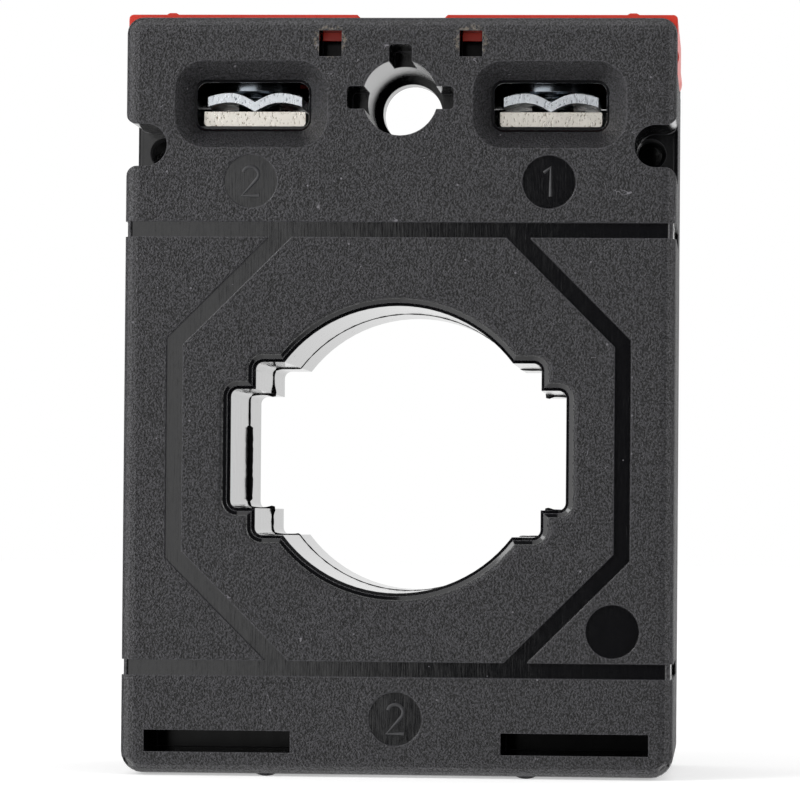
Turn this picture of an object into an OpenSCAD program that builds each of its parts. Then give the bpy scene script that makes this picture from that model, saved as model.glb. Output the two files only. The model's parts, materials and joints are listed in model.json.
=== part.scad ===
// Window-type current transformer in a two-part moulded case.
// +Z up, the rear face looks along -Y, the origin is at the middle of the base.

/* [Primary window] */
// Width of the flat bar slot
slot_w = 31; // [26:0.5:32]
// Height of the flat bar slot
slot_h = 11; // [8:0.5:14]
// Width of the thick bar step
step_w = 26.4; // [20:0.2:27]
// Height of the thick bar step
step_h = 16; // [15:0.5:18]
// Diameter of the round window
round_d = 26.5; // [23:0.5:27.5]
// Radius of the corners inside the window
window_r = 0.7; // [0.4:0.1:1.2]
// Rounding of the window's rim
rim_r = 1; // [0.5:0.1:1.4]

/* [Coil] */
// Thickness of the core between its bore and its outside
core_w = 2.34; // [2:0.02:6]
// Thickness of the tape over the winding
tape_t = 0.25; // [0.15:0.05:0.35]
// Thickness of the layer of wire
winding_t = 0.75; // [0.4:0.05:0.9]
// Thickness of the core case
core_case_t = 0.5; // [0.3:0.1:0.6]
// Gap between the coil and the case
coil_gap = 0.3; // [0.2:0.05:0.5]
// Diameter of a lead
lead_d = 1.2; // [0.8:0.1:1.6]

/* [Case] */
// Depth of the rear shell
rear_d = 18; // [16:0.5:24]
// Depth of the front shell at the window
front_d = 12; // [10:0.5:18]
// How far the terminal block stands out at the front
block_raise = 2.5; // [1:0.1:4]
// How far the raised front reaches below the terminal floor
block_skirt = 7.7; // [5:0.1:9]
// Thickness of the outer side walls
wall = 1.8; // [1.4:0.1:2.4]
// Thickness of the front and rear faces
face_t = 2.3; // [2:0.1:3]
// Thickness of the tube round the window
tube_t = 1.5; // [1.2:0.1:1.6]
// Rounding of the upper corners
top_r = 1.5; // [1.4:0.1:2]
// Rounding of the lower corners
bottom_r = 2; // [1.5:0.1:3]
// Rounding of the case's edges
edge_r = 1.3; // [0.8:0.1:1.35]
// Width of the seam between the shells inside the window
seam = 0.12; // [0.05:0.01:0.3]
// Height of the foot ribs
rib_h = 0.2; // [0.1:0.05:0.5]
// Distance from the middle to a foot rib
rib_x = 12; // [8:0.5:16]

/* [Marks and grooves] */
// Width of the horizontal grooves
groove_w = 1.45; // [1:0.05:2]
// Depth of the grooves
groove_d = 0.3; // [0.15:0.05:0.5]
// Distance from the window's middle to a horizontal groove
groove_rise = 20.25; // [19.5:0.05:21]
// Distance from the middle to the octagon's upright groove
octagon_x = 20.7; // [20:0.1:22]
// Width of the octagon's groove
octagon_w = 1.55; // [1:0.05:2]
// Reach of the octagon's slanted sides
octagon_reach = 30.55; // [29:0.05:32]
// Diameter of the marking discs
disc_d = 5; // [4:0.1:5.6]
// Depth of the marking discs
disc_depth = 0.25; // [0.15:0.05:0.5]
// Distance from the top to the terminals' discs
disc_drop = 15.25; // [14.5:0.05:15.6]
// Distance from the underside to the lower disc
low_disc_rise = 5.2; // [4.5:0.1:5.8]
// Distance from the side to the corner disc
corner_disc_side = 5.6; // [4.5:0.1:6]
// Distance from the underside to the corner disc
corner_disc_rise = 13.4; // [13:0.1:15]

/* [Fixing] */
// Diameter of the fixing hole
hole_d = 5.7; // [4.5:0.1:6.4]
// Diameter of the counterbore behind the rear face
counterbore_d = 7; // [6.6:0.1:7.6]
// Thickness of the ledge at the end of the counterbore
ledge_t = 3; // [2:0.1:5]
// Diameter of the fixing hole's wide end at the front
front_bore_d = 8.4; // [7.8:0.1:8.6]
// Distance from the case's top to the fixing hole
hole_drop = 7.5; // [7:0.1:9]
// Width of a keyway
keyway_w = 2.1; // [1.5:0.1:2.6]
// Reach of a keyway from the hole's middle
keyway_reach = 4.95; // [4.5:0.05:5.4]
// Depth of a keyway
keyway_depth = 7.2; // [5:0.1:12]
// Height of a side notch
notch_h = 3.9; // [3:0.1:4.6]
// Reach of a side notch into the case
notch_reach = 3.9; // [3.6:0.1:4.6]
// Depth of a side notch
notch_depth = 10.4; // [6:0.1:11]
// Diameter of the screw hole in a side notch
side_hole_d = 2.25; // [1.8:0.05:2.6]
// Depth of the screw hole in a side notch
side_hole_depth = 6; // [4:0.5:6.5]
// Distance from the side to that hole's middle
side_hole_inset = 2.6; // [2:0.1:2.8]
// Width of a foot slot
foot_w = 13.55; // [10:0.05:14]
// Distance from the side to a foot slot
foot_side = 2.25; // [1.5:0.05:3]
// Height of a foot slot
foot_h = 2; // [1.5:0.1:3]
// Depth of a foot slot
foot_depth = 10.5; // [6:0.5:11]
// Thickness of the case under a foot slot
foot_floor = 2; // [1.4:0.1:2.4]

/* [Terminals] */
// Distance from the case's side to the middle of a terminal
terminal_side = 11.7; // [11.3:0.1:11.9]
// Width of a terminal plate
plate_w = 9.5; // [9.1:0.1:9.7]
// Thickness of a terminal plate
plate_t = 1.4; // [1:0.1:2]
// Rounding of a plate's lower edges
plate_r = 0.35; // [0.15:0.05:0.45]
// Distance from a face to the end of the plate
plate_inset = 3.7; // [3.3:0.1:5]
// Length of the threaded collar under the plate
collar_h = 1.6; // [1:0.1:2]
// Nominal diameter of the clamp screws
screw_d = 4; // [3:0.5:4]
// Length of a clamp screw under its head
screw_len = 7; // [6.4:0.2:9]
// Diameter of a screw head
head_d = 7.6; // [6.8:0.1:8]
// Height of a screw head
head_h = 2.6; // [2:0.1:3]
// How far a screw lifts when it is undone
screw_lift = 1.75; // [1:0.05:2]
// Width of a clamp saddle
saddle_w = 8.8; // [8:0.1:9]
// Length of a clamp saddle
saddle_len = 8.4; // [8:0.1:9]
// Thickness of a clamp saddle
saddle_t = 0.9; // [0.6:0.05:1]
// Depth of the saddle's V below its arches
saddle_v = 0.85; // [0.5:0.05:1]
// Width of a wire entry
entry_w = 10.4; // [9.8:0.1:10.4]
// Height of a wire entry
entry_h = 4.3; // [4.1:0.1:4.8]
// Flare of a wire entry on each side
entry_flare = 1.9; // [1:0.1:2]

/* [Covers] */
// Thickness of a cover
cover_t = 1.7; // [1.4:0.1:2]
// How far a cover stands above the case
cover_proud = 0.4; // [0:0.1:0.8]
// Width of the bridge between the covers
bridge_w = 7.1; // [6.5:0.1:8]
// Radius of the hinge knuckle
knuckle_r = 1.4; // [1.2:0.05:1.6]
// How far the knuckle stands out of the side
knuckle_proud = 0.12; // [0:0.02:0.3]
// Distance from the cover's top to the hinge axis
hinge_drop = 3.9; // [3.7:0.1:4.4]
// Diameter of a hinge trunnion
trunnion_d = 1.5; // [1.2:0.1:1.6]
// Length of a hinge trunnion
trunnion_len = 1.2; // [0.8:0.1:1.4]
// Width of a latch window
latch_w = 2.1; // [1.6:0.1:2.4]
// Height of a latch window
latch_h = 2.4; // [2:0.1:3]
// Distance from the middle to a latch window's inner edge
latch_x = 5.45; // [5.2:0.05:5.7]

/* [Fits] */
// Clearance round a cover
cover_gap = 0.15; // [0.1:0.01:0.2]
// Running clearance of the hinge trunnions and screws, on the radius
running = 0.05; // [0.02:0.01:0.09]
// Clearance round a terminal plate
plate_gap = 0.1; // [0.05:0.01:0.15]
// Clearance between a screw and its saddle, on the radius
saddle_gap = 0.2; // [0.1:0.05:0.3]

/* [Hidden] */
$fn = 48;

// Amount by which a cutter runs past a face
over = 1;
// Contact gap between pieces that rest on each other
touch = 0.02;
black = "#2b2b2d";
red = "#e0442a";

// Depths, from the rear face to the front
depth = rear_d + front_d + block_raise;
rear_y = -depth / 2;
seam_y = rear_y + rear_d;
face_y = seam_y + front_d;
block_y = depth / 2;
inner_y = rear_y + face_t;

// Radii of the coil, and the case round it
tube_reach = norm([slot_w / 2 - window_r, slot_h / 2 - window_r]) + window_r + tube_t;
tape_inner_r = max(tube_reach, round_d / 2 + tube_t) + coil_gap;
tape_outer_r = tape_inner_r + 2 * (tape_t + winding_t + core_case_t) + core_w;
half_w = tape_outer_r + coil_gap + wall;
coil_y0 = inner_y + coil_gap;
coil_y1 = face_y - face_t - coil_gap;

// Heights, from the base to the top
case_z = rib_h;
foot_z = case_z + foot_floor;
coil_room_z0 = foot_z + foot_h + face_t;
window_z = coil_room_z0 + coil_gap + tape_outer_r;
coil_room_z1 = window_z + tape_outer_r + coil_gap;
partition_t = 1.6;
partition_z1 = coil_room_z1 + partition_t;
tip_gap = 0.9;
seat_z = partition_z1 + tip_gap + screw_len;
saddle_h = saddle_v + saddle_t + touch;
plate_z1 = seat_z - saddle_h;
plate_z0 = plate_z1 - plate_t;
floor_t = 1.5;
head_top_z = seat_z + head_h;
rim_h = 0.8;
cover_z0 = head_top_z + screw_lift + 0.3 + rim_h;
cover_z1 = cover_z0 + cover_t;
top_z = cover_z1 - cover_proud;
shelf_gap = 0.2;
hinge_z = cover_z1 - hinge_drop;
hinge_x = half_w + knuckle_proud - knuckle_r;
shelf_z = hinge_z - knuckle_r - shelf_gap;
hole_z = top_z - hole_drop;
entry_z = plate_z0 - 0.35 + entry_h / 2;
notch_z = plate_z0 - 2;
raised_z = coil_room_z1 - block_skirt;

// Places of the terminals
terminal_x = half_w - terminal_side;
plate_len = depth - 2 * plate_inset;
screw_y = plate_len / 2 - saddle_len / 2;
chamber_w = entry_w + 0.4;
chamber_x0 = terminal_x - chamber_w / 2;
bridge_x = bridge_w / 2;
cover_y = block_y - face_t - cover_gap;
skirt_t = 1.9;
side_hole_x = half_w - side_hole_inset;
foot_x0 = half_w - foot_side - foot_w;

// ---------- outlines and cutters ----------

// Points of one rounded corner, from angle a on
function corner(x, z, r, a, n = 6) = [for (i = [0:n]) [x + r * cos(a + 90 * i / n), z + r * sin(a + 90 * i / n)]];

// A rectangle from z0 to z1 with its own upper and lower corner radii
function box_outline(hw, z0, z1, r_top, r_bottom) = concat(
    corner(hw - r_top, z1 - r_top, r_top, 0),
    corner(-hw + r_top, z1 - r_top, r_top, 90),
    corner(-hw + r_bottom, z0 + r_bottom, r_bottom, 180),
    corner(hw - r_bottom, z0 + r_bottom, r_bottom, 270)
);

// An octagon cut off at the heights +-h, with upright sides at +-x and slanted sides x + z = reach
function octagon(x, h, reach) = [
    [x, reach - x], [reach - h, h], [h - reach, h], [-x, reach - x],
    [-x, x - reach], [h - reach, -h], [reach - h, -h], [x, x - reach]
];

// Extrudes a flat XZ shape from y0 to y1
module along_y(y0, y1) {
    translate([0, y1, 0]) rotate([90, 0, 0]) linear_extrude(y1 - y0) children();
}

// A round bar or hole along Y
module round_y(x, z, y0, y1, d) {
    translate([x, y1, z]) rotate([90, 0, 0]) cylinder(h = y1 - y0, d = d);
}

// A rounded rectangle round the middle, as a flat shape
module panel(w, h, r) {
    polygon(box_outline(w / 2, -h / 2, h / 2, r, r));
}

// A box between two corners
module block(low, high) {
    translate(low) cube(high - low);
}

// How far a rounding of radius r has come in at the depth d
function inset(r, d) = r - sqrt(max(0, r * r - (r - d) * (r - d)));

// A shell's solid outside, from y_near to its face at y_far, whose edge is rounded. Its sides and top lie
// in from the case's by in. dir is -1 for a face that looks along -Y and 1 for one that looks along +Y.
module rounded_body(y_near, y_far, z0, r_bottom, dir, in = 0) {
    thin = 0.01;
    y_edge = y_far - dir * edge_r;
    hull() {
        for (d = [0, 0.08, 0.3, 0.62] * edge_r) {
            e = inset(edge_r, d);
            y = y_far - dir * d;
            along_y(min(y, y - dir * thin), max(y, y - dir * thin))
                polygon(box_outline(half_w - in - e, z0 + e, top_z - in - e, top_r - e, r_bottom - e));
        }
        along_y(min(y_near, y_edge), max(y_near, y_edge))
            polygon(box_outline(half_w - in, z0, top_z - in, top_r, r_bottom));
    }
}

// The window with a wall of thickness grow added all round
module window_prism(y0, y1, grow) {
    translate([0, 0, window_z]) {
        along_y(y0, y1) panel(slot_w + 2 * grow, slot_h + 2 * grow, window_r + grow);
        along_y(y0, y1) panel(step_w + 2 * grow, step_h + 2 * grow, window_r + grow);
    }
    round_y(0, window_z, y0, y1, round_d + 2 * grow);
}

// The window's rim, cut from the face at y_face that looks along dir.
// cut lists the steps of its section, each as [depth, width].
module window_rim(y_face, dir, cut) {
    for (size = [[slot_w, slot_h], [step_w, step_h]]) {
        for (i = [0:len(cut) - 2]) {
            translate([0, 0, window_z]) hull() {
                for (c = [cut[i], cut[i + 1]]) {
                    y = y_face - dir * c[0];
                    along_y(y - touch / 2, y + touch / 2)
                        panel(size[0] + 2 * c[1], size[1] + 2 * c[1], window_r + c[1]);
                }
            }
        }
    }
    translate([0, y_face, window_z]) rotate([dir * 90, 0, 0]) rotate_extrude()
        polygon(concat([[0, -over], [round_d / 2 + rim_r, -over]],
            [for (c = cut) [round_d / 2 + c[1], c[0]]], [[0, cut[len(cut) - 1][0]]]));
}

// The wire entry's mouth: a flare through the wall of the face at y_face, and a straight land behind it
module wire_entry(x, y_face, dir) {
    land = 0.3;
    deep = y_face - dir * (face_t - land);
    inside = y_face - dir * (face_t + over);
    mouth = y_face + dir * touch;
    translate([x, 0, entry_z]) {
        hull() {
            along_y(min(mouth, mouth - dir * touch), max(mouth, mouth - dir * touch))
                panel(entry_w + 2 * entry_flare, entry_h + 2 * entry_flare, 0.9 + entry_flare);
            along_y(min(deep, deep - dir * touch), max(deep, deep - dir * touch))
                panel(entry_w, entry_h, 0.9);
        }
        along_y(min(deep, inside), max(deep, inside)) panel(entry_w, entry_h, 0.9);
    }
}

// ---------- what both shells have ----------

// Everything taken out of the case's inside between y0 and y1
module inside_cut(y0, y1) {
    coil_y_end = face_y - face_t;
    inner_y_end = block_y - face_t;
    a = max(y0, inner_y);
    difference() {
        block([wall - half_w, a, coil_room_z0], [half_w - wall, min(y1, coil_y_end), coil_room_z1]);
        window_prism(y0 - over, y1 + over, tube_t);
    }
    for (s = [-1, 1]) {
        // chamber over the terminal plate
        block([s * terminal_x - chamber_w / 2, a, plate_z0],
            [s * terminal_x + chamber_w / 2, min(y1, inner_y_end), top_z + over]);
        // room for the screw tips and the lead
        block([s * terminal_x - plate_w / 2, a, partition_z1],
            [s * terminal_x + plate_w / 2, min(y1, inner_y_end), plate_z0 - floor_t]);
        cover_room(s, a, min(y1, inner_y_end));
    }
}

// The recess for one cover and its hinge
module cover_room(s, y0, y1) {
    mirror([s < 0 ? 1 : 0, 0, 0]) {
        block([bridge_x, y0, cover_z0 - 0.1], [half_w + over, y1, top_z + over]);
        block([hinge_x - knuckle_r - shelf_gap, y0, shelf_z], [half_w + over, y1, top_z + over]);
    }
}

// The lugs that hold a terminal plate down on its floor
module plate_lugs(y0, y1) {
    lug_h = 1;
    lip = 0.45;
    for (s = [-1, 1], side = [-1, 1]) {
        translate([s * terminal_x, 0, 0]) mirror([side < 0 ? 1 : 0, 0, 0]) {
            block([plate_w / 2 + plate_gap, y0, plate_z0 - touch], [chamber_w / 2 + touch, y1, plate_z1 + lug_h]);
            block([plate_w / 2 - lip, y0, plate_z1 + touch], [chamber_w / 2 + touch, y1, plate_z1 + lug_h]);
        }
    }
}

// Foot slots, open at the face at y_face
module foot_slots(y_face, dir) {
    inner = y_face - dir * foot_depth;
    outer = y_face + dir * over;
    for (s = [-1, 1]) {
        mirror([s < 0 ? 1 : 0, 0, 0]) {
            block([foot_x0, min(inner, outer), foot_z], [foot_x0 + foot_w, max(inner, outer), foot_z + foot_h]);
        }
    }
}

// The latch window and the pocket behind it, at the face at y_face
module latch_windows(y_face, dir) {
    pocket = y_face - dir * (face_t + 2);
    outer = y_face + dir * over;
    for (s = [-1, 1]) {
        mirror([s < 0 ? 1 : 0, 0, 0]) {
            block([latch_x, min(outer, pocket), cover_z0 - latch_h],
                [latch_x + latch_w, max(outer, pocket), cover_z0]);
        }
    }
}

// Blind holes for the hinge trunnions, in the wall behind the face at y_face
module trunnion_holes(y_face, dir) {
    a = y_face - dir * (face_t + over);
    b = y_face - dir * (face_t - trunnion_len - 0.1);
    for (s = [-1, 1]) {
        round_y(s * hinge_x, hinge_z, min(a, b), max(a, b), trunnion_d + 2 * running);
    }
}

// The holes in the terminal floor for the plate's collars
module collar_holes(y) {
    for (s = [-1, 1]) {
        translate([s * terminal_x, y, plate_z0 - floor_t - over]) cylinder(h = floor_t + 2 * over, d = collar_d + 0.6);
    }
}

// A foot rib along the base, from y0 to y1
module foot_ribs(y0, y1) {
    rib_r = 2.1;
    for (s = [-1, 1]) {
        along_y(y0, y1) intersection() {
            translate([s * rib_x, rib_r]) circle(r = rib_r);
            translate([s * rib_x - rib_r, -over]) square([2 * rib_r, case_z + over + 0.6]);
        }
    }
}

// ---------- the shells ----------

module rear_shell() {
    color(black) difference() {
        union() {
            rounded_body(seam_y, rear_y, case_z, bottom_r, -1);
            foot_ribs(rear_y + edge_r, seam_y);
        }
        difference() {
            inside_cut(rear_y, seam_y + over);
            plate_lugs(-lug_half, seam_y);
        }
        window_prism(rear_y - over, seam_y + over, 0);
        window_rim(rear_y, -1, [[0, 1], [0.3, inset(1, 0.3)], [1, 0]] * rim_r);
        face_grooves();
        for (s = [-1, 1]) {
            round_y(s * terminal_x, top_z - disc_drop, rear_y - over, rear_y + disc_depth, disc_d);
            wire_entry(s * terminal_x, rear_y, -1);
            side_notch(s);
            translate([s * terminal_x, 0, coil_room_z1 - over])
                cylinder(h = partition_t + 2 * over, d = lead_d + 0.6);
            block([s * terminal_x - tab_t / 2 - 0.2, -tab_w / 2 - 0.2, plate_z0 - floor_t - over],
                [s * terminal_x + tab_t / 2 + 0.2, tab_w / 2 + 0.2, plate_z0 + over]);
        }
        round_y(0, case_z + low_disc_rise, rear_y - over, rear_y + disc_depth, disc_d);
        round_y(half_w - corner_disc_side, case_z + corner_disc_rise, rear_y - over, rear_y + disc_depth, disc_d);
        round_y(0, hole_z, rear_y - over, seam_y + over, counterbore_d);
        keyways();
        collar_holes(-screw_y);
        foot_slots(rear_y, -1);
        latch_windows(rear_y, -1);
        trunnion_holes(rear_y, -1);
    }
}

module front_shell() {
    color(black) difference() {
        union() {
            rounded_body(seam_y, face_y, case_z, bottom_r, 1);
            rounded_body(face_y - edge_r - 1, block_y, raised_z, top_r, 1, 0.05);
            foot_ribs(seam_y, face_y - edge_r);
        }
        difference() {
            inside_cut(seam_y - over, block_y);
            plate_lugs(seam_y, lug_half);
        }
        window_prism(seam_y - over, block_y + over, 0);
        block([-half_w + wall, seam_y - over, window_z - round_d], [half_w - wall, seam_y + seam, window_z + round_d]);
        window_rim(face_y, 1, [[0, 1], [1, 0]] * 0.6 * rim_r);
        for (s = [-1, 1]) {
            wire_entry(s * terminal_x, block_y, 1);
        }
        round_y(0, case_z + low_disc_rise, face_y - disc_depth, block_y + over, disc_d);
        round_y(0, hole_z, seam_y - over, block_y + over, hole_d);
        round_y(0, hole_z, seam_y + ledge_t, block_y + over, front_bore_d);
        collar_holes(screw_y);
        foot_slots(face_y, 1);
        latch_windows(block_y, 1);
        trunnion_holes(block_y, 1);
    }
}

// The grooves of the rear face, and where they run on round the sides
module face_grooves() {
    h = groove_rise - groove_w / 2;
    for (s = [-1, 1]) {
        z = window_z + s * groove_rise;
        block([-half_w - over, rear_y - over, z - groove_w / 2], [half_w + over, rear_y + groove_d, z + groove_w / 2]);
        for (side = [-1, 1]) {
            translate([side * (half_w + over / 2 - groove_d), 0, 0])
                block([-over / 2, rear_y - over, z - groove_w / 2], [over / 2, seam_y + over, z + groove_w / 2]);
        }
    }
    translate([0, 0, window_z]) along_y(rear_y - over, rear_y + groove_d) difference() {
        polygon(octagon(octagon_x + octagon_w / 2, h, octagon_reach + octagon_w * 0.72));
        polygon(octagon(octagon_x - octagon_w / 2, h + touch, octagon_reach - octagon_w * 0.72));
    }
}

// The keyways on three sides of the counterbore
module keyways() {
    translate([0, 0, hole_z]) along_y(rear_y - over, rear_y + keyway_depth) {
        translate([0, keyway_reach / 2]) panel(keyway_w, keyway_reach, 0.4);
        panel(2 * keyway_reach, keyway_w, 0.4);
    }
}

// The notch in one side, with the screw hole in its floor
module side_notch(s) {
    lip_r = 1.1;
    floor_y = rear_y + notch_depth;
    x1 = notch_reach - notch_h / 2;
    mirror([s < 0 ? 1 : 0, 0, 0]) translate([half_w, 0, notch_z]) {
        round_y(-x1, 0, rear_y - over, floor_y, notch_h);
        block([-x1, rear_y - over, -notch_h / 2], [over, floor_y, notch_h / 2]);
        along_y(rear_y - over, floor_y) difference() {
            translate([-lip_r, -notch_h / 2 - lip_r]) square([lip_r + over, notch_h + 2 * lip_r]);
            for (up = [-1, 1]) {
                translate([-lip_r, up * (notch_h / 2 + lip_r)]) circle(r = lip_r);
            }
        }
        round_y(side_hole_x - half_w, 0, floor_y - over, floor_y + side_hole_depth, side_hole_d);
        translate([side_hole_x - half_w, floor_y, 0]) rotate([-90, 0, 0])
            cylinder(h = 0.35, d1 = side_hole_d + 0.7, d2 = side_hole_d);
    }
}

// ---------- the coil ----------

// A ring about the window's axis, from r0 to r1 and from y0 to y1
module ring(r0, r1, y0, y1) {
    translate([0, y1, window_z]) rotate([90, 0, 0]) rotate_extrude() translate([r0, 0]) square([r1 - r0, y1 - y0]);
}

// A closed layer of thickness t on a ring, at the depth out inside the tape's surface
module ring_layer(out, t) {
    difference() {
        ring(tape_inner_r + out, tape_outer_r - out, coil_y0 + out, coil_y1 - out);
        ring(tape_inner_r + out + t, tape_outer_r - out - t, coil_y0 + out + t, coil_y1 - out - t);
    }
}

module winding_tape() {
    color("#d8c98a") ring_layer(0, tape_t);
}

module secondary_winding() {
    color("#b5622c") ring_layer(tape_t, winding_t);
}

module core_case() {
    out = tape_t + winding_t;
    color("#e8e4da") difference() {
        ring(tape_inner_r + out, tape_outer_r - out, coil_y0 + out, coil_y1 - out - core_case_t);
        ring(tape_inner_r + out + core_case_t, tape_outer_r - out - core_case_t, coil_y0 + out + core_case_t, coil_y1);
    }
}

module core_lid() {
    out = tape_t + winding_t;
    color("#e8e4da") ring(tape_inner_r + out, tape_outer_r - out, coil_y1 - out - core_case_t, coil_y1 - out);
}

module core() {
    out = tape_t + winding_t + core_case_t;
    color("#8d9094") ring(tape_inner_r + out, tape_outer_r - out, coil_y0 + out, coil_y1 - out);
}

// A lead, from the top of the coil up to the terminal's solder tab
module lead(s) {
    foot = window_z + sqrt(pow(tape_outer_r, 2) - pow(terminal_x - lead_d / 2, 2)) + touch;
    color("#f2f2f2") translate([s * terminal_x, 0, foot]) cylinder(h = tab_z - foot, d = lead_d);
}

// ---------- the terminals ----------

collar_d = screw_d + 2;
tab_w = 3;
tab_t = 1;
tab_z = plate_z0 - floor_t - 1.3;
lug_half = 3.4;

// A terminal plate with two threaded collars and a solder tab
module terminal_plate(s) {
    color("#e6d7b0") translate([s * terminal_x, 0, 0]) difference() {
        union() {
            along_y(-plate_len / 2, plate_len / 2)
                polygon(box_outline(plate_w / 2, plate_z0, plate_z1, plate_r / 3, plate_r));
            block([-tab_t / 2, -tab_w / 2, tab_z], [tab_t / 2, tab_w / 2, plate_z0 + touch]);
            for (end = [-1, 1]) {
                translate([0, end * screw_y, plate_z0 - collar_h]) cylinder(h = collar_h + touch, d = collar_d);
            }
        }
        for (end = [-1, 1]) {
            translate([0, end * screw_y, plate_z0 - collar_h - over])
                cylinder(h = collar_h + plate_t + 2 * over, d = screw_d);
        }
    }
}

// Height of the saddle's upper surface at the distance x from its middle, from the arch tops down
function saddle_z(x) =
    let (arch_x = saddle_w * 0.26, t = abs(x))
    t > arch_x ? -pow(t - arch_x, 2) / 11 : -saddle_v * (1 - sin(90 * t / arch_x));

// A clamp saddle: two arches with a V between them
module saddle(s, end) {
    xs = [for (i = [-11:11]) i / 11 * saddle_w / 2];
    color("#c9d2d8") translate([s * terminal_x, end * screw_y, seat_z - touch]) difference() {
        along_y(-saddle_len / 2, saddle_len / 2) polygon(concat(
            [for (x = xs) [x, saddle_z(x)]],
            [for (i = [len(xs) - 1:-1:0]) [xs[i], saddle_z(xs[i]) - saddle_t]]));
        translate([0, 0, -saddle_h - over]) cylinder(h = saddle_h + 2 * over, d = screw_d + 2 * saddle_gap);
    }
}

// A clamp screw: plain shank, domed head with a combined slot and cross recess
module screw(s, end) {
    head_r = head_d / 2;
    rim = head_h * 0.55;
    recess = head_h * 0.55;
    color("#9aa0a4") translate([s * terminal_x, end * screw_y, seat_z]) difference() {
        union() {
            translate([0, 0, -screw_len]) cylinder(h = screw_len + touch, d = screw_d - 2 * running);
            rotate_extrude() polygon(concat([[0, 0], [head_r - 0.2, 0], [head_r, 0.2]],
                [for (a = [0:15:75]) [head_r - 1.2 * (1 - cos(a)), rim + (head_h - rim) * sin(a)]],
                [[head_r - 1.4, head_h], [0, head_h]]));
        }
        block([-head_r - over, -0.5, head_h - recess], [head_r + over, 0.5, head_h + over]);
        block([-0.5, -2, head_h - recess], [0.5, 2, head_h + over]);
    }
}

// ---------- the covers ----------

// A terminal cover, drawn for the +X side
module cover(s) {
    bar_x = half_w - 4.1;
    chamfer = 0.5;
    round_r = 0.4;
    x0 = bridge_x + cover_gap;
    rim_x = chamber_w / 2 - 0.5;
    rim_t = 0.9;
    color(red) mirror([s < 0 ? 1 : 0, 0, 0]) {
        along_y(-cover_y, cover_y) polygon(concat(
            [[x0, cover_z0], [half_w - skirt_t, cover_z0], [half_w - skirt_t, hinge_z], [half_w, hinge_z]],
            corner(half_w - round_r, cover_z1 - round_r, round_r, 0, 3),
            [[x0 + chamfer, cover_z1], [x0, cover_z1 - chamfer]]));
        along_y(-cover_y, cover_y) polygon([[bar_x - 0.6, cover_z1 - touch], [bar_x - 0.3, cover_z1 + 0.15],
            [bar_x + 0.3, cover_z1 + 0.15], [bar_x + 0.6, cover_z1 - touch]]);
        round_y(hinge_x, hinge_z, -cover_y, cover_y, 2 * knuckle_r);
        round_y(hinge_x, hinge_z, -cover_y - cover_gap - trunnion_len, cover_y + cover_gap + trunnion_len, trunnion_d);
        // locating rim
        translate([terminal_x, 0, cover_z0 - rim_h]) difference() {
            block([-rim_x, -cover_y + 0.4, 0], [rim_x, cover_y - 0.4, rim_h + touch]);
            block([rim_t - rim_x, -cover_y + 0.4 + rim_t, -over], [rim_x - rim_t, cover_y - 0.4 - rim_t, rim_h]);
        }
        // latch nibs
        for (end = [-1, 1]) {
            translate([latch_x + cover_gap, 0, cover_z0]) mirror([0, end < 0 ? 1 : 0, 0]) rotate([90, 0, 90])
                linear_extrude(latch_w - 2 * cover_gap)
                    polygon([[cover_y - 1.4, touch], [cover_y, touch], [cover_y, -0.75], [cover_y - 1.4, -0.35]]);
        }
    }
}

rear_shell();
front_shell();
core();
core_case();
core_lid();
secondary_winding();
winding_tape();
lead(1);  // lead_1
lead(-1);  // lead_2
terminal_plate(1);  // terminal_plate_1
terminal_plate(-1);  // terminal_plate_2
saddle(1, -1);  // saddle_1_rear
saddle(1, 1);  // saddle_1_front
saddle(-1, -1);  // saddle_2_rear
saddle(-1, 1);  // saddle_2_front
screw(1, -1);  // screw_1_rear
screw(1, 1);  // screw_1_front
screw(-1, -1);  // screw_2_rear
screw(-1, 1);  // screw_2_front
cover(1);  // cover_1
cover(-1);  // cover_2
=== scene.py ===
# %% [markdown]
# # A window-type current transformer
#
# The real object is a black moulded case in two halves, with a window for a bar or a cable, two red
# hinged covers over the terminals, and plated clamps behind the wire entries.
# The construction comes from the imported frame. This script gives it its finishes, the few fine pieces
# that the frame leaves out, the light and the camera.

# %% Load the frame
import json
import math

import bmesh
import bpy
from mathutils import Matrix, Vector, noise


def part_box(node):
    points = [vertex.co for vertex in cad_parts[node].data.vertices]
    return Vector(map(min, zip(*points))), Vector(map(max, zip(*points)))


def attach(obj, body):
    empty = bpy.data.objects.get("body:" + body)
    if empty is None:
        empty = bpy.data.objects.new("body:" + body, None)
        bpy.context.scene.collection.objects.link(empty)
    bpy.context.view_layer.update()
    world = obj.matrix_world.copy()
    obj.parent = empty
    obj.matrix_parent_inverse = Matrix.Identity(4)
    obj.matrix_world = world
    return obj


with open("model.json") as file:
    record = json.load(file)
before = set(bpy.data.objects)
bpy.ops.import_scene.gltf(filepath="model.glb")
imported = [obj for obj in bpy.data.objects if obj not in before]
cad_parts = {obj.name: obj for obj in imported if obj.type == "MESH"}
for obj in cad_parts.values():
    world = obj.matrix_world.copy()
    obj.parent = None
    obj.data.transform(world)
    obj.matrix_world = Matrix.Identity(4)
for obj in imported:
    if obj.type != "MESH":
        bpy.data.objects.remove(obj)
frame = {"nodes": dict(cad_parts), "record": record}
bpy.ops.object.select_all(action="DESELECT")
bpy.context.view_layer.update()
scene = bpy.context.scene
nodes = frame["nodes"]
MM = 0.001


# %% [markdown]
# ## Where things are
#
# The sizes that the finishes need are read from the frame where a piece's box gives them: the rear shell's
# face and seam, the window's middle and the terminals' places. The rest are distances from these, in mm.

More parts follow.
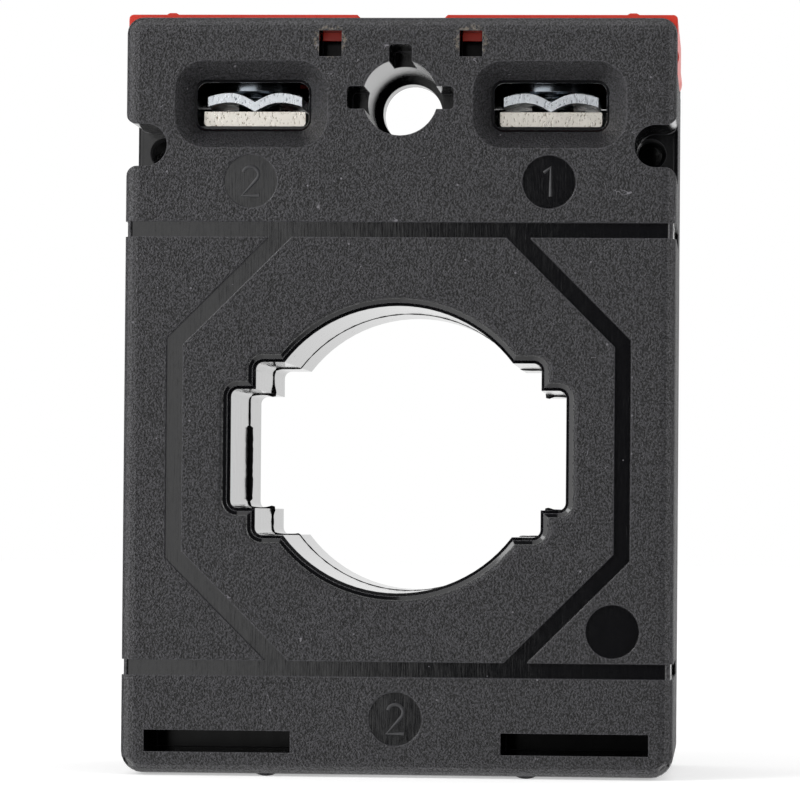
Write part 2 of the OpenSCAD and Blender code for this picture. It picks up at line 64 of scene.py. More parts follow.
# %% Measure the frame
rear_low, rear_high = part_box("rear_shell")
coil_low, coil_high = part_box("winding_tape")
plate_low, plate_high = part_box("terminal_plate_1")
REAR_Y = rear_low.y
SEAM_Y = rear_high.y
TOP_Z = rear_high.z
HALF_W = rear_high.x
WINDOW_Z = (coil_low.z + coil_high.z) / 2
TERMINAL_X = (plate_low.x + plate_high.x) / 2

EDGE = 1.3            # the rounding of the case's edges
FOOT_RIB = 0.2        # what the case's underside stands above the ground
CASE_DEPTH = 30.0     # from the rear face to the front face, below the terminal block
BLOCK_STEP = 2.5      # what the terminal block stands further forward
BLOCK_RISE = 16.0     # from the window's middle up to the block's lower edge
DISC_DROP = 15.25     # from the top down to the middle of the two upper discs
LOW_DISC_RISE = 5.2   # from the underside up to the middle of the lowest disc
DISC_DEPTH = 0.25     # how deep the discs' floors lie
print("window's middle at", round(WINDOW_Z / MM, 2), "terminals at", round(TERMINAL_X / MM, 2))


# %% [markdown]
# ## The camera
#
# A long lens, a little right of the object's middle and just below it, looks at the rear face. The lens
# keeps the sides nearly parallel, so that only a sliver of each inner wall shows.

# %% Camera
AZIMUTH, ELEVATION, ROLL = map(math.radians, (3.99, -1.43, 0.466))
LENS, SENSOR = 213.9, 36
EYE_X, EYE_BACK, EYE_Z = 30.65 * MM, 436.3 * MM, 23.83 * MM
back = Vector((math.sin(AZIMUTH) * math.cos(ELEVATION), -math.cos(AZIMUTH) * math.cos(ELEVATION),
               math.sin(ELEVATION)))
level = Vector((math.cos(AZIMUTH), math.sin(AZIMUTH), 0))
upright = back.cross(level)
right = level * math.cos(ROLL) + upright * math.sin(ROLL)
up = back.cross(right)
camera_data = bpy.data.cameras.new("camera")
camera_data.lens = LENS
camera_data.sensor_width = SENSOR
camera_data.clip_start, camera_data.clip_end = 0.01, 10
camera = bpy.data.objects.new("camera", camera_data)
axes = Matrix((right, up, back)).transposed().to_4x4()
camera.matrix_world = Matrix.Translation((EYE_X, REAR_Y - EYE_BACK, EYE_Z)) @ axes
scene.collection.objects.link(camera)
scene.camera = camera
scene.view_settings.view_transform = "Standard"


# %% [markdown]
# ## Helpers for materials
#
# Colours are written as on a colour picker, and one function turns them to the linear values that the
# shader needs. One function adds a node, with its settings and its links. A link names its socket, or
# counts it as in i0, and takes a plain value, a socket, or a node whose first output in use is meant.

# %% Colours and nodes
def linear(hex_colour, alpha=1.0):
    """The linear RGBA of an sRGB colour such as "#2b2b2d"."""
    parts = [int(hex_colour[i:i + 2], 16) / 255 for i in (1, 3, 5)]
    return (*[p / 12.92 if p <= 0.04045 else ((p + 0.055) / 1.055) ** 2.4 for p in parts], alpha)


def add(tree, kind, settings=None, **links):
    """Adds a node of this kind. Settings are its own properties, or its operation alone."""
    node = tree.nodes.new("ShaderNode" + kind)
    if isinstance(settings, str):
        settings = {"operation": settings}
    for key, value in (settings or {}).items():
        setattr(node, key, value)
    for key, value in links.items():
        counted = key[0] == "i" and key[1:].isdigit()
        socket = node.inputs[int(key[1:])] if counted else node.inputs[key.replace("_", " ")]
        if isinstance(value, bpy.types.Node):
            value = next(output for output in value.outputs if output.enabled)
        if isinstance(value, bpy.types.NodeSocket):
            tree.links.new(value, socket)
        else:
            socket.default_value = value
    return node


def new_material(name):
    """A material with an empty tree, and that tree."""
    material = bpy.data.materials.new(name)
    material.use_nodes = True
    material.node_tree.nodes.clear()
    return material, material.node_tree


SOFT = {"interpolation_type": "SMOOTHSTEP"}
COLOUR = {"data_type": "RGBA"}
NUMBER = {"data_type": "FLOAT"}


# %% [markdown]
# ## The floor and the studio
#
# A pale floor takes the object's shadow. The lamps and the room's diffuse light only set how bright matt
# surfaces are. What polished and glossy surfaces mirror is drawn apart from that, as in a light tent:
# white panels on the left, beside, above and straight behind, and a dark gap on the right. The dark gap
# is what makes the black plastic look black, and the white panels draw its edges. Mirrored rays pass
# through the floor, so that the tent goes on below it.

# %% Floor
FLOOR_SIZE, FLOOR_GLOW = 4, 0.45
bpy.ops.mesh.primitive_plane_add(size=FLOOR_SIZE, location=(0, 0, 0))
floor = bpy.context.object
floor.name = "floor"
floor_paint, tree = new_material("white_floor")
rays = add(tree, "LightPath").outputs
seen = add(tree, "Math", "MAXIMUM", i0=rays["Is Camera Ray"], i1=rays["Is Transmission Ray"])
lit = add(tree, "BsdfDiffuse", Color=linear("#e8e8e8"))
glow = add(tree, "Emission", Color=(1, 1, 1, 1), Strength=FLOOR_GLOW)
both = add(tree, "AddShader", i0=lit, i1=glow)
mix = add(tree, "MixShader", i0=seen, i1=lit, i2=both)
mix = add(tree, "MixShader", i0=rays["Is Glossy Ray"], i1=mix, i2=add(tree, "BsdfTransparent"))
add(tree, "OutputMaterial", Surface=mix)
floor.data.materials.append(floor_paint)

# %% The room and what glossy surfaces mirror
LEFT_PANEL, SIDE_PANEL, DARK = 1.25, 2.9, 0.01
FILL = 0.7
world = bpy.data.worlds.new("studio")
scene.world = world
world.use_nodes = True
tree = world.node_tree
tree.nodes.clear()
way = add(tree, "SeparateXYZ", Vector=add(tree, "TexCoord").outputs["Generated"])
to_x, to_y, to_z = way.outputs
panel = {}
for name, along, start, end, strength in (
        ("left", to_x, -0.072, -0.090, LEFT_PANEL),
        ("fore", to_y, 0.34, 0.24, 1.0),
        ("ring", to_y, -0.35, -0.05, SIDE_PANEL),
        ("behind", to_y, 0.80, 0.86, 1.0),
        ("above", to_z, 0.80, 0.88, 1.0),
        ("below", to_z, -0.45, -0.60, 1.0)):
    panel[name] = add(tree, "MapRange", SOFT, Value=along, From_Min=start, From_Max=end,
                      To_Min=0.0, To_Max=strength)
nearer = add(tree, "MapRange", Value=to_x, From_Min=-0.15, From_Max=-0.9, To_Min=1.0, To_Max=1.7)
panels = add(tree, "Math", "MULTIPLY", i0=panel["left"], i1=nearer)
panels = add(tree, "Math", "MULTIPLY", i0=panels, i1=panel["fore"])
panel["ring"] = add(tree, "Math", "MULTIPLY", i0=panel["ring"], i1=panel["fore"])
for name in ("ring", "behind", "above", "below"):
    panels = add(tree, "Math", "MAXIMUM", i0=panels, i1=panel[name])
panels = add(tree, "Math", "MAXIMUM", i0=panels, i1=DARK)
rays = add(tree, "LightPath").outputs
white = add(tree, "Math", "MAXIMUM", i0=rays["Is Camera Ray"], i1=rays["Is Transmission Ray"])
fill = add(tree, "Background", Color=(1, 1, 1, 1), Strength=FILL)
clear = add(tree, "Background", Color=(1, 1, 1, 1), Strength=1.0)
tent = add(tree, "Background", Color=(1, 1, 1, 1), Strength=panels)
mix = add(tree, "MixShader", i0=rays["Is Glossy Ray"], i1=fill, i2=tent)
mix = add(tree, "MixShader", i0=white, i1=mix, i2=clear)
add(tree, "OutputWorld", Surface=mix)


# %% Lamps
def lamp(name, place, size, energy):
    """A soft square lamp that looks at the object's middle."""
    data = bpy.data.lights.new(name, "AREA")
    data.energy, data.size = energy, size
    obj = bpy.data.objects.new(name, data)
    obj.location = place
    obj.rotation_euler = (Vector((0, 0, 0.035)) - Vector(place)).to_track_quat("-Z", "Y").to_euler()
    scene.collection.objects.link(obj)


lamp("key", (-0.45, -0.36, 0.36), 0.3, 1.5)
lamp("side", (0.8, -0.2, 0.4), 0.4, 1.2)


# %% [markdown]
# ## Black moulded case
#
# The case is glass-filled nylon from a mould with three surfaces. Its outer skin was cut by sparks, which
# leaves a fine even grain and a dull grey sheen. The grooves, the marking discs and the window were
# polished, so they mirror the room. Funnels, bores and notches lie between the two. The material tells
# them apart by how deep a point lies under the case's own outline, all in millimetres.

# %% Case plastic
# The pale grey for the edges is a painted highlight
BLACK, SKIN, PIT, EDGE_HIGHLIGHT = "#101012", "#2a292e", "#040405", "#4c4b50"
DUST, LINT, PARTING = "#77757a", "#7d7468", "#050505"
GRAIN = 0.18          # the width of one spark crater
CRATER = 0.15         # its depth
PARTING_HALF = 0.07   # half the width of the parting line
SOFT_EDGE = 0.14      # how far sharp edges are rounded off
MIDDLE_Z = (rear_low.z + FOOT_RIB * MM + TOP_Z) / 2 / MM
REACH_Z = (TOP_Z / MM - FOOT_RIB) / 2
ENTRY_Z, ENTRY_HALF = plate_high.z / MM + 0.4, 4.1
ENTRY_IN, ENTRY_OUT = 5.5, HALF_W / MM - 4.6
FUNNEL_DEPTH = 1.75
WINDOW_REACH = (16.6, 14.4)
LATCH_X, LATCH_Z = 6.5, TOP_Z / MM - 2.25


def moulded_case(name, front):
    """The case's plastic, for the front or the rear shell."""
    material, tree = new_material(name)
    coords = add(tree, "TexCoord").outputs
    mm = add(tree, "VectorMath", "SCALE", i0=coords["Object"], Scale=1 / MM)
    x, y, z = add(tree, "SeparateXYZ", Vector=mm).outputs
    nx, ny, _ = add(tree, "SeparateXYZ", Vector=coords["Normal"]).outputs

    # How far a point has come into the edge's rounding from each side, squared and summed
    wide = add(tree, "Math", "ABSOLUTE", i0=x)
    across = add(tree, "Math", "SUBTRACT", i0=wide, i1=HALF_W / MM - EDGE)
    high = add(tree, "Math", "ABSOLUTE", i0=add(tree, "Math", "SUBTRACT", i0=z, i1=MIDDLE_Z))
    high = add(tree, "Math", "SUBTRACT", i0=high, i1=REACH_Z - EDGE)
    if front:
        raised = add(tree, "Math", "GREATER_THAN", i0=z, i1=WINDOW_Z / MM + BLOCK_RISE - 0.05)
        face = add(tree, "Math", "MULTIPLY_ADD", i0=raised, i1=BLOCK_STEP,
                   i2=REAR_Y / MM + CASE_DEPTH - EDGE)
        deep = add(tree, "Math", "SUBTRACT", i0=y, i1=face)
    else:
        deep = add(tree, "Math", "SUBTRACT", i0=REAR_Y / MM + EDGE, i1=y)
    total = None
    for part in (across, high, deep):
        part = add(tree, "Math", "MAXIMUM", i0=part, i1=0.0)
        part = add(tree, "Math", "MULTIPLY", i0=part, i1=part)
        total = part if total is None else add(tree, "Math", "ADD", i0=total, i1=part)
    skin = add(tree, "MapRange", Value=total, From_Min=1.3, From_Max=1.5)

    # The wire entries' funnels have the skin's grain as well
    side = add(tree, "Math", "GREATER_THAN", i0=wide, i1=ENTRY_IN)
    aloft = add(tree, "Math", "COMPARE", i0=z, i1=ENTRY_Z, i2=ENTRY_HALF)
    inner = add(tree, "Math", "LESS_THAN", i0=wide, i1=ENTRY_OUT)
    mouth = add(tree, "Math", "GREATER_THAN", i0=deep, i1=EDGE - FUNNEL_DEPTH)
    for part in (side, aloft, inner):
        mouth = add(tree, "Math", "MULTIPLY", i0=mouth, i1=part)
    below = add(tree, "Math", "SUBTRACT", i0=1.0, i1=skin)
    funnel = add(tree, "Math", "MULTIPLY", i0=mouth, i1=below)
    skin = add(tree, "Math", "MAXIMUM", i0=skin, i1=mouth)

    # Polished floors: flats that lie a little under the rear face or the sides, and the window's walls
    under = add(tree, "MapRange", Value=total, From_Min=0.8, From_Max=0.85)
    facing = add(tree, "Math", "MINIMUM", i0=add(tree, "Math", "ABSOLUTE", i0=nx), i1=1.0)
    facing = add(tree, "Math", "MAXIMUM", i0=facing, i1=add(tree, "Math", "ABSOLUTE", i0=ny))
    flat = add(tree, "MapRange", Value=facing, From_Min=0.96, From_Max=0.99)
    flat = add(tree, "Math", "MULTIPLY", i0=flat, i1=under)
    rise = add(tree, "Math", "ABSOLUTE", i0=add(tree, "Math", "SUBTRACT", i0=z, i1=WINDOW_Z / MM))
    near = add(tree, "Math", "LESS_THAN", i0=wide, i1=WINDOW_REACH[0])
    close = add(tree, "Math", "LESS_THAN", i0=rise, i1=WINDOW_REACH[1])
    wall = add(tree, "Math", "MULTIPLY", i0=near, i1=close)
    gloss = add(tree, "Math", "MAXIMUM", i0=flat, i1=wall)

    # Spark-eroded grain on the skin, faint waves on what was polished
    grain = add(tree, "TexNoise", {"noise_dimensions": "3D"}, Vector=mm, Scale=1 / GRAIN, Detail=2.0,
                Roughness=0.6)
    pits = add(tree, "MapRange", SOFT, Value=grain, From_Min=0.39, From_Max=0.61)
    ripple = add(tree, "TexNoise", Vector=mm, Scale=0.5, Detail=2.0)
    haze = add(tree, "TexNoise", Vector=mm, Scale=0.12, Detail=3.0)

    # Dust: specks in about every thirtieth cell, and short curled fibres on the skin
    cells = add(tree, "TexVoronoi", {"feature": "F1"}, Vector=mm, Scale=1.3).outputs
    drawn = add(tree, "SeparateColor", Color=cells["Color"]).outputs
    kept = add(tree, "Math", "GREATER_THAN", i0=drawn[0], i1=0.965)
    size = add(tree, "MapRange", Value=drawn[1], To_Min=0.05, To_Max=0.14)
    speck = add(tree, "Math", "LESS_THAN", i0=cells["Distance"], i1=size)
    speck = add(tree, "Math", "MULTIPLY", i0=speck, i1=kept)
    curl = add(tree, "TexNoise", Vector=mm, Scale=0.8, Detail=1.0)
    curl = add(tree, "Math", "ABSOLUTE", i0=add(tree, "Math", "SUBTRACT", i0=curl, i1=0.5))
    curl = add(tree, "Math", "LESS_THAN", i0=curl, i1=0.006)
    spot = add(tree, "TexNoise", Vector=mm, Scale=0.75, Detail=0.0)
    spot = add(tree, "Math", "GREATER_THAN", i0=spot, i1=0.775)
    fibre = add(tree, "Math", "MULTIPLY", i0=curl, i1=spot)
    fibre = add(tree, "Math", "MULTIPLY", i0=fibre, i1=skin)
    dust = add(tree, "Math", "MAXIMUM", i0=speck, i1=fibre)

    # Pale lint that has gathered round the latch windows
    off = add(tree, "Math", "SUBTRACT", i0=wide, i1=LATCH_X)
    lower = add(tree, "Math", "SUBTRACT", i0=z, i1=LATCH_Z)
    apart = add(tree, "VectorMath", "LENGTH", i0=add(tree, "CombineXYZ", X=off, Z=lower))
    gathered = add(tree, "MapRange", Value=apart, From_Min=1.3, From_Max=2.9, To_Min=1.0, To_Max=0.0)
    fuzz = add(tree, "TexNoise", Vector=mm, Scale=3.2, Detail=4.0, Roughness=0.75)
    fuzz = add(tree, "Math", "MULTIPLY", i0=fuzz, i1=gathered)
    fuzz = add(tree, "Math", "MULTIPLY", i0=fuzz, i1=skin)
    lint = add(tree, "MapRange", Value=fuzz, From_Min=0.44, From_Max=0.56, To_Min=0.0, To_Max=0.7)

    # The parting line round the outside
    seam = add(tree, "Math", "ABSOLUTE", i0=add(tree, "Math", "SUBTRACT", i0=y, i1=SEAM_Y / MM))
    seam = add(tree, "Math", "LESS_THAN", i0=seam, i1=PARTING_HALF)

    # Painted highlight: edges are made a little paler, where the rounded normal turns away from the flat
    # one
    edges = add(tree, "Bevel", {"samples": 4}, Radius=SOFT_EDGE * MM)
    turned = add(tree, "VectorMath", "DOT_PRODUCT", i0=edges,
                 i1=add(tree, "NewGeometry").outputs["Normal"])
    edge_highlight = add(tree, "MapRange", SOFT, Value=turned, From_Min=0.992, From_Max=0.92,
               To_Min=0.0, To_Max=0.8)

    # Colour, laid on from the plastic outwards
    # Painted shade: the funnels' insides are darkened a fifth of the way to black
    shade = add(tree, "Math", "MULTIPLY", i0=funnel, i1=0.2)
    tone = add(tree, "Mix", COLOUR, i0=pits, i6=linear(PIT), i7=linear(SKIN))
    tone = add(tree, "Mix", COLOUR, i0=skin, i6=linear(BLACK), i7=tone)
    for mask, colour in ((shade, BLACK), (dust, DUST), (lint, LINT), (seam, PARTING), (edge_highlight, EDGE_HIGHLIGHT)):
        tone = add(tree, "Mix", COLOUR, i0=mask, i6=tone, i7=linear(colour))

    # Less is mirrored in the craters, in the funnels and down in the latch windows and foot slots
    sheen = add(tree, "Mix", NUMBER, i0=pits, i2=0.30, i3=0.5)
    sheen = add(tree, "Mix", NUMBER, i0=skin, i2=0.5, i3=sheen)
    foot = add(tree, "Math", "LESS_THAN", i0=z, i1=WINDOW_Z / MM - 17.0)
    roof = add(tree, "Math", "GREATER_THAN", i0=z, i1=LATCH_Z - 1.4)
    slim = add(tree, "Math", "LESS_THAN", i0=wide, i1=8.0)
    roof = add(tree, "Math", "MULTIPLY", i0=roof, i1=slim)
    cave = add(tree, "Math", "MAXIMUM", i0=foot, i1=roof)
    sunk = add(tree, "MapRange", Value=deep, From_Min=EDGE - 0.8, From_Max=EDGE - 3.0)
    within = add(tree, "Math", "LESS_THAN", i0=wide, i1=HALF_W / MM - 1.6)
    for part in (side, sunk, within):
        cave = add(tree, "Math", "MULTIPLY", i0=cave, i1=part)
    hidden = add(tree, "Math", "MAXIMUM", i0=cave, i1=shade)
    sheen = add(tree, "Mix", NUMBER, i0=hidden, i2=sheen, i3=0.13)

    # Roughness: satin, polished, spark-eroded and dusty
    dull = add(tree, "MapRange", Value=haze, From_Min=0.3, From_Max=0.7, To_Min=0.40, To_Max=0.48)
    rough = add(tree, "Mix", NUMBER, i0=gloss, i2=0.17, i3=0.09)
    rough = add(tree, "Mix", NUMBER, i0=skin, i2=rough, i3=dull)
    rough = add(tree, "Mix", NUMBER, i0=dust, i2=rough, i3=0.8)

    # Relief: craters on the skin, slow waves, and the fine upright lines of polishing on the flats
    height = add(tree, "Math", "MULTIPLY", i0=grain, i1=skin)
    relief = add(tree, "Bump", Strength=1.0, Distance=CRATER * MM, Height=height, Normal=edges)
    relief = add(tree, "Bump", Strength=0.5, Distance=0.02 * MM, Height=ripple, Normal=relief)
    lines = add(tree, "Mapping", Vector=mm, Scale=(6.0, 6.0, 0.35))
    lines = add(tree, "TexNoise", Vector=lines, Scale=1.0, Detail=3.0, Roughness=0.7)
    lines = add(tree, "Math", "MULTIPLY", i0=lines, i1=flat)
    relief = add(tree, "Bump", Strength=0.4, Distance=0.008 * MM, Height=lines, Normal=relief)
    shader = add(tree, "BsdfPrincipled", IOR=1.58, Base_Color=tone, Roughness=rough,
                 Specular_IOR_Level=sheen, Normal=relief)
    add(tree, "OutputMaterial", Surface=shader)
    return material


finish = {"rear_shell": moulded_case("moulded_nylon_rear", False),
          "front_shell": moulded_case("moulded_nylon_front", True)}


# %% [markdown]
# ## Red covers
#
# The covers are moulded in red ABS and lightly textured, which gives a satin surface: the colour stays
# clear from the front and pales towards the edges, where the surface is seen at a slant. A little haze
# and a fine grain keep large faces from looking painted.

# %% Cover plastic
material, tree = new_material("satin_red_abs")
mm = add(tree, "VectorMath", "SCALE", i0=add(tree, "TexCoord").outputs["Object"], Scale=1 / MM)
grain = add(tree, "TexNoise", Vector=mm, Scale=1 / 0.2, Detail=2.0)
haze = add(tree, "TexNoise", Vector=mm, Scale=0.25, Detail=3.0)
tone = add(tree, "Mix", COLOUR, i0=haze, i6=linear("#db2711"), i7=linear("#e63516"))
rough = add(tree, "MapRange", Value=haze, From_Min=0.3, From_Max=0.7, To_Min=0.28, To_Max=0.40)
edges = add(tree, "Bevel", {"samples": 4}, Radius=0.15 * MM)
bumps = add(tree, "Bump", Strength=0.4, Distance=0.05 * MM, Height=grain, Normal=edges)
shader = add(tree, "BsdfPrincipled", IOR=1.54, Base_Color=tone, Roughness=rough, Normal=bumps)
add(tree, "OutputMaterial", Surface=shader)
finish["cover"] = material

# %% [markdown]
# ## Plated metal
#
# Plates and saddles were stamped from strip and plated. A punch leaves small upright tears on the cut
# ends, which face the wire entries, while the broad faces stay smooth. One function makes both, with the
# tears only where the surface faces forwards or backwards.

# %% Stamped and plated strip
def stamped(name, colour, torn, width, slim, rough):
    """A plated metal with tears of this width in mm on its cut ends, and so slim for their height."""
    material, tree = new_material(name)
    coords = add(tree, "TexCoord").outputs
    ends = add(tree, "SeparateXYZ", Vector=coords["Normal"]).outputs[1]
    ends = add(tree, "Math", "ABSOLUTE", i0=ends)
    ends = add(tree, "MapRange", Value=ends, From_Min=0.7, From_Max=0.9)
    drawn = add(tree, "Mapping", Vector=coords["Object"],
                Scale=(1 / width / MM, 1 / width / MM, slim / width / MM))
    tears = add(tree, "TexNoise", Vector=drawn, Scale=1.0, Detail=3.0, Roughness=0.65)
    whole = add(tree, "MapRange", SOFT, Value=tears, From_Min=0.30, From_Max=0.44)
    shade = add(tree, "Mix", COLOUR, i0=whole, i6=linear(torn), i7=linear(colour))
    shade = add(tree, "Mix", COLOUR, i0=ends, i6=linear(colour), i7=shade)
    cloud = add(tree, "TexNoise", Vector=coords["Object"], Scale=1.2 / MM, Detail=3.0)
    dull = add(tree, "MapRange", Value=cloud, From_Min=0.3, From_Max=0.7,
               To_Min=rough - 0.06, To_Max=rough + 0.1)
    height = add(tree, "Math", "MULTIPLY", i0=tears, i1=ends)
    edges = add(tree, "Bevel", {"samples": 4}, Radius=0.08 * MM)
    bumps = add(tree, "Bump", Strength=0.4, Distance=0.03 * MM, Height=height, Normal=edges)
    shader = add(tree, "BsdfPrincipled", Metallic=1.0, Base_Color=shade, Roughness=dull, Normal=bumps)
    add(tree, "OutputMaterial", Surface=shader)
    return material


finish["terminal"] = stamped("nickel_plated_brass", "#fffaf0", "#7d6f55", 0.17, 0.45, 0.30)
finish["saddle"] = stamped("zinc_plated_steel", "#f2f7fc", "#7f8692", 0.20, 0.4, 0.28)

# %% Screws: dark zinc on steel, with the thread as a fine ridge round the shank
THREAD_PITCH = 0.7
material, tree = new_material("dark_zinc_screw")
coords = add(tree, "TexCoord").outputs
x, y, z = add(tree, "SeparateXYZ", Vector=coords["Object"]).outputs
cloud = add(tree, "TexNoise", Vector=coords["Object"], Scale=0.8 / MM, Detail=3.0)
tone = add(tree, "Mix", COLOUR, i0=cloud, i6=linear("#6f757c"), i7=linear("#a2a9b0"))
dull = add(tree, "MapRange", Value=cloud, From_Min=0.3, From_Max=0.7, To_Min=0.14, To_Max=0.26)
turns = add(tree, "Math", "MULTIPLY", i0=z, i1=2 * math.pi / THREAD_PITCH / MM)
turns = add(tree, "Math", "SINE", i0=turns)
shank = add(tree, "Math", "LESS_THAN", i0=z, i1=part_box("saddle_1_rear")[1].z)
turns = add(tree, "Math", "MULTIPLY", i0=turns, i1=shank)
edges = add(tree, "Bevel", {"samples": 4}, Radius=0.1 * MM)
bumps = add(tree, "Bump", Strength=0.8, Distance=0.15 * MM, Height=turns, Normal=edges)
shader = add(tree, "BsdfPrincipled", Metallic=1.0, Base_Color=tone, Roughness=dull, Normal=bumps)
add(tree, "OutputMaterial", Surface=shader)
finish["screw"] = material

# %% [markdown]
# ## Inside the case
#
# The coil can't be seen in the closed case, but the part is complete: a core of wound strip, its moulded
# case, a layer of enamelled copper wire, tape round it, and two sleeved leads. The turns follow the angle
# about the window's middle, and the strip follows the distance from it.

# %% Wound pieces
def wound(name, colours, rough, metal, turns=0, pitch=0.0, ior=1.5):
    """A finish with so many turns about the window's axis, or with rings of this pitch in mm."""
    material, tree = new_material(name)
    coords = add(tree, "TexCoord").outputs
    mm = add(tree, "VectorMath", "SCALE", i0=coords["Object"], Scale=1 / MM)
    x, y, z = add(tree, "SeparateXYZ", Vector=mm).outputs
    rise = add(tree, "Math", "SUBTRACT", i0=z, i1=WINDOW_Z / MM)
    if turns:
        phase = add(tree, "Math", "ARCTAN2", i0=rise, i1=x)
        phase = add(tree, "Math", "MULTIPLY", i0=phase, i1=float(turns))
    else:
        phase = add(tree, "VectorMath", "LENGTH", i0=add(tree, "CombineXYZ", X=x, Z=rise))
        phase = add(tree, "Math", "MULTIPLY", i0=phase, i1=2 * math.pi / pitch)
    ridge = add(tree, "Math", "SINE", i0=phase)
    cloud = add(tree, "TexNoise", Vector=mm, Scale=1.5, Detail=3.0)
    part = add(tree, "Math", "MULTIPLY_ADD", i0=ridge, i1=0.2, i2=cloud)
    tone = add(tree, "Mix", COLOUR, i0=part, i6=linear(colours[0]), i7=linear(colours[1]))
    dull = add(tree, "MapRange", Value=cloud, From_Min=0.3, From_Max=0.7,
               To_Min=rough - 0.08, To_Max=rough + 0.08)
    bumps = add(tree, "Bump", Strength=0.6, Distance=0.1 * MM, Height=ridge)
    shader = add(tree, "BsdfPrincipled", Metallic=metal, IOR=ior, Base_Color=tone, Roughness=dull,
                 Normal=bumps)
    add(tree, "OutputMaterial", Surface=shader)
    return material


finish["core"] = wound("wound_core_strip", ("#6f7276", "#a3a6aa"), 0.35, 1.0, pitch=0.3)
finish["core_case"] = wound("natural_nylon", ("#d8d2c4", "#ece8de"), 0.45, 0.0, pitch=2.5, ior=1.53)
finish["core_lid"] = finish["core_case"]
finish["secondary_winding"] = wound("enamelled_copper_wire", ("#7c3718", "#c8703a"), 0.28, 1.0, turns=300)
finish["winding_tape"] = wound("polyester_tape", ("#b99f52", "#dcc98c"), 0.3, 0.0, turns=24, ior=1.6)
finish["lead"] = wound("white_sleeving", ("#dcdad4", "#f4f3ef"), 0.5, 0.0, pitch=0.5, ior=1.45)

# %% Put the finishes on
for name, node in nodes.items():
    key = name if name in finish else name.split("_")[0]
    node.data.materials.clear()
    node.data.materials.append(finish[key])
    print(name, "->", finish[key].name)

# %% [markdown]
# ## Fine ridges
#
# The numbers and the flash are lines with a round section. A line is drawn as a curve, made a mesh, closed
# and hung on the case.

# %% From a line to a piece of the case
CASE_BODY = next(body for body, held in frame["record"]["behaviour"]["bodies"].items()
                 if "rear_shell" in held)


def flat_paint(name, dark, pale, patch, rough):
    """A plain nylon finish with clouds, so many of them to a millimetre."""
    material, tree = new_material(name)
    cloud = add(tree, "TexNoise", Vector=add(tree, "TexCoord").outputs["Object"], Scale=patch / MM,
                Detail=2.0)
    tone = add(tree, "Mix", COLOUR, i0=cloud, i6=linear(dark), i7=linear(pale))
    shader = add(tree, "BsdfPrincipled", IOR=1.58, Base_Color=tone, Roughness=rough)
    add(tree, "OutputMaterial", Surface=shader)
    return material


def ridge_piece(name, points, thickness, corners, closed, place, squeeze, paint):
    """A ridge along points (x, z) in mm, each with its own share of the thickness, as a piece."""
    curve = bpy.data.curves.new(name, "CURVE")
    curve.dimensions = "3D"
    curve.bevel_depth = thickness * MM
    curve.bevel_resolution = corners
    curve.use_fill_caps = not closed
    line = curve.splines.new("POLY")
    line.points.add(len(points) - 1)
    line.use_cyclic_u = closed
    for point, (px, pz, share) in zip(line.points, points):
        point.co = (px * MM, 0, pz * MM, 1)
        point.radius = share
    ridge = bpy.data.objects.new(name, curve)
    scene.collection.objects.link(ridge)
    bpy.ops.object.select_all(action="DESELECT")
    ridge.select_set(True)
    bpy.context.view_layer.objects.active = ridge
    bpy.ops.object.convert(target="MESH")
    ridge.scale = (1, squeeze, 1)
    ridge.location = place
    bpy.ops.object.transform_apply(location=True, rotation=True, scale=True)

    # The conversion can leave doubled points and faces that look inwards
    shape = bmesh.new()
    shape.from_mesh(ridge.data)
    bmesh.ops.remove_doubles(shape, verts=shape.verts, dist=1e-7)
    bmesh.ops.recalc_face_normals(shape, faces=shape.faces)
    shape.to_mesh(ridge.data)
    print(name, "has", len(shape.faces), "faces and",
          sum(not edge.is_manifold for edge in shape.edges), "open edges")
    shape.free()
    ridge.data.materials.clear()
    ridge.data.materials.append(paint)
    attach(ridge, CASE_BODY)


# %% [markdown]
# ## Numbers in the marking discs
#
# Each disc under a wire entry carries its terminal's number, and so does the lowest disc, as a thin ridge
# that stands on the polished floor. A number is one line, pressed flat.

# %% Numbers
STROKE, PRESSED = 0.17, 0.7          # half a line's width in mm, and its height as a share of that
TALL, BOWL = 1.34, 0.72              # half a number's height and the radius of the 2's bowl, in mm
bowl = [(BOWL * math.cos(math.radians(turn)), TALL - BOWL + BOWL * math.sin(math.radians(turn)))
        for turn in range(165, -46, -15)]
GLYPHS = {"1": [(-0.5, 0.85), (0.12, TALL), (0.12, -TALL)],
          "2": bowl + [(-0.78, -TALL), (0.8, -TALL)]}
DISC_Z = TOP_Z - DISC_DROP * MM
LOW_DISC_Z = rear_low.z + (FOOT_RIB + LOW_DISC_RISE) * MM
mark_paint = flat_paint("moulded_number", "#232325", "#3a3a3d", 3, 0.42)
for name, glyph, middle_x, middle_z in (
        ("number_left", "2", -TERMINAL_X, DISC_Z),
        ("number_right", "1", TERMINAL_X, DISC_Z),
        ("number_low", "2", 0.0, LOW_DISC_Z)):
    ridge_piece(name, [(px, pz, 1.0) for px, pz in GLYPHS[glyph]], STROKE, 2, False,
                (middle_x, REAR_Y + DISC_DEPTH * MM, middle_z), PRESSED, mark_paint)
    bpy.ops.object.shade_smooth_by_angle(angle=math.radians(40))

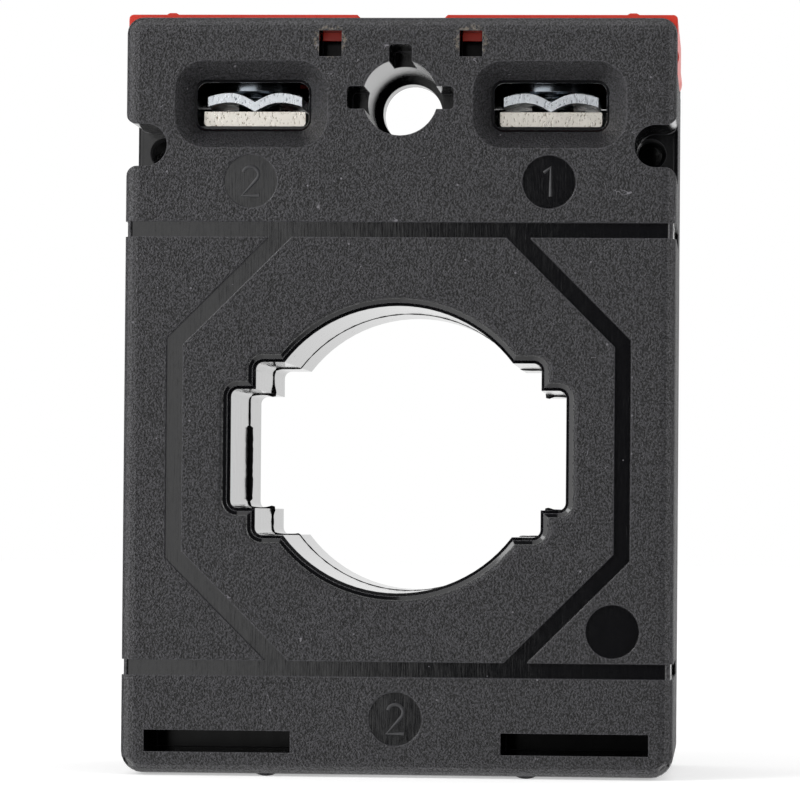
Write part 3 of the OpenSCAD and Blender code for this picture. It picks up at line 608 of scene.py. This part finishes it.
# %% [markdown]
# ## Flash along the seam in the window
#
# Where the two shells meet, the mould left a thin uneven ridge of plastic all round the window, thicker in
# the corners and with one broad scrap on the left wall. It follows the window's outline, which is the
# farthest of its slot, its step and its round part in each direction.

# %% Seam flash
SLOT, STEP, ROUND = (15.5, 5.5), (13.2, 8.0), 13.25   # half sizes and the radius, in mm
NICK = (STEP[0], SLOT[1])                             # the inner corner between slot and step
STRAIGHT_THICK, ROUND_THICK = 0.12, 0.06
CORNER_EXTRA, CORNER_REACH = 0.2, 0.7
SCRAP_THICK, SCRAP_FROM, SCRAP_TO = 0.36, -4.8, 2.4
ARC_STEP = 0.75                                       # degrees between two points


def reach(angle):
    """How far the window's wall lies from its middle in this direction, in mm."""
    c, s = abs(math.cos(angle)), abs(math.sin(angle))
    return max(ROUND, *(min(w / max(c, 1e-6), h / max(s, 1e-6)) for w, h in (SLOT, STEP)))


corners = [math.atan2(h, w) for w, h in (
    SLOT, STEP, NICK, (math.sqrt(ROUND ** 2 - STEP[1] ** 2), STEP[1]))]
evenly = [math.radians(ARC_STEP * i) for i in range(round(360 / ARC_STEP))]
mirrored = [(turn + sign * a) % (2 * math.pi) for a in corners for turn in (0, math.pi)
            for sign in (-1, 1)]
points = []
for angle in sorted({round(a, 5) for a in evenly + mirrored}):
    r = reach(angle)
    px, pz = r * math.cos(angle), r * math.sin(angle)
    uneven = (noise.noise(Vector((px, pz, 0.0)) * 0.9) * 0.5
              + noise.noise(Vector((px, pz, 5.0)) * 2.7) * 0.3)
    straight = r > ROUND + 0.01
    thick = (STRAIGHT_THICK if straight else ROUND_THICK) * (1 + uneven)
    nearest = min(abs(abs(px) - w) + abs(abs(pz) - h) for w, h in (SLOT, STEP, NICK))
    thick += CORNER_EXTRA * max(0.0, 1 - nearest / CORNER_REACH)
    if px < 0 and SCRAP_FROM < pz < SCRAP_TO and straight:
        thick = SCRAP_THICK * (1 + 0.4 * uneven)
    points.append((px, pz, thick))
ridge_piece("seam_flash", points, 1.0, 1, True, (0, SEAM_Y, WINDOW_Z), 1.0,
            flat_paint("torn_nylon", "#0b0b0c", "#1c1c1d", 2, 0.55))
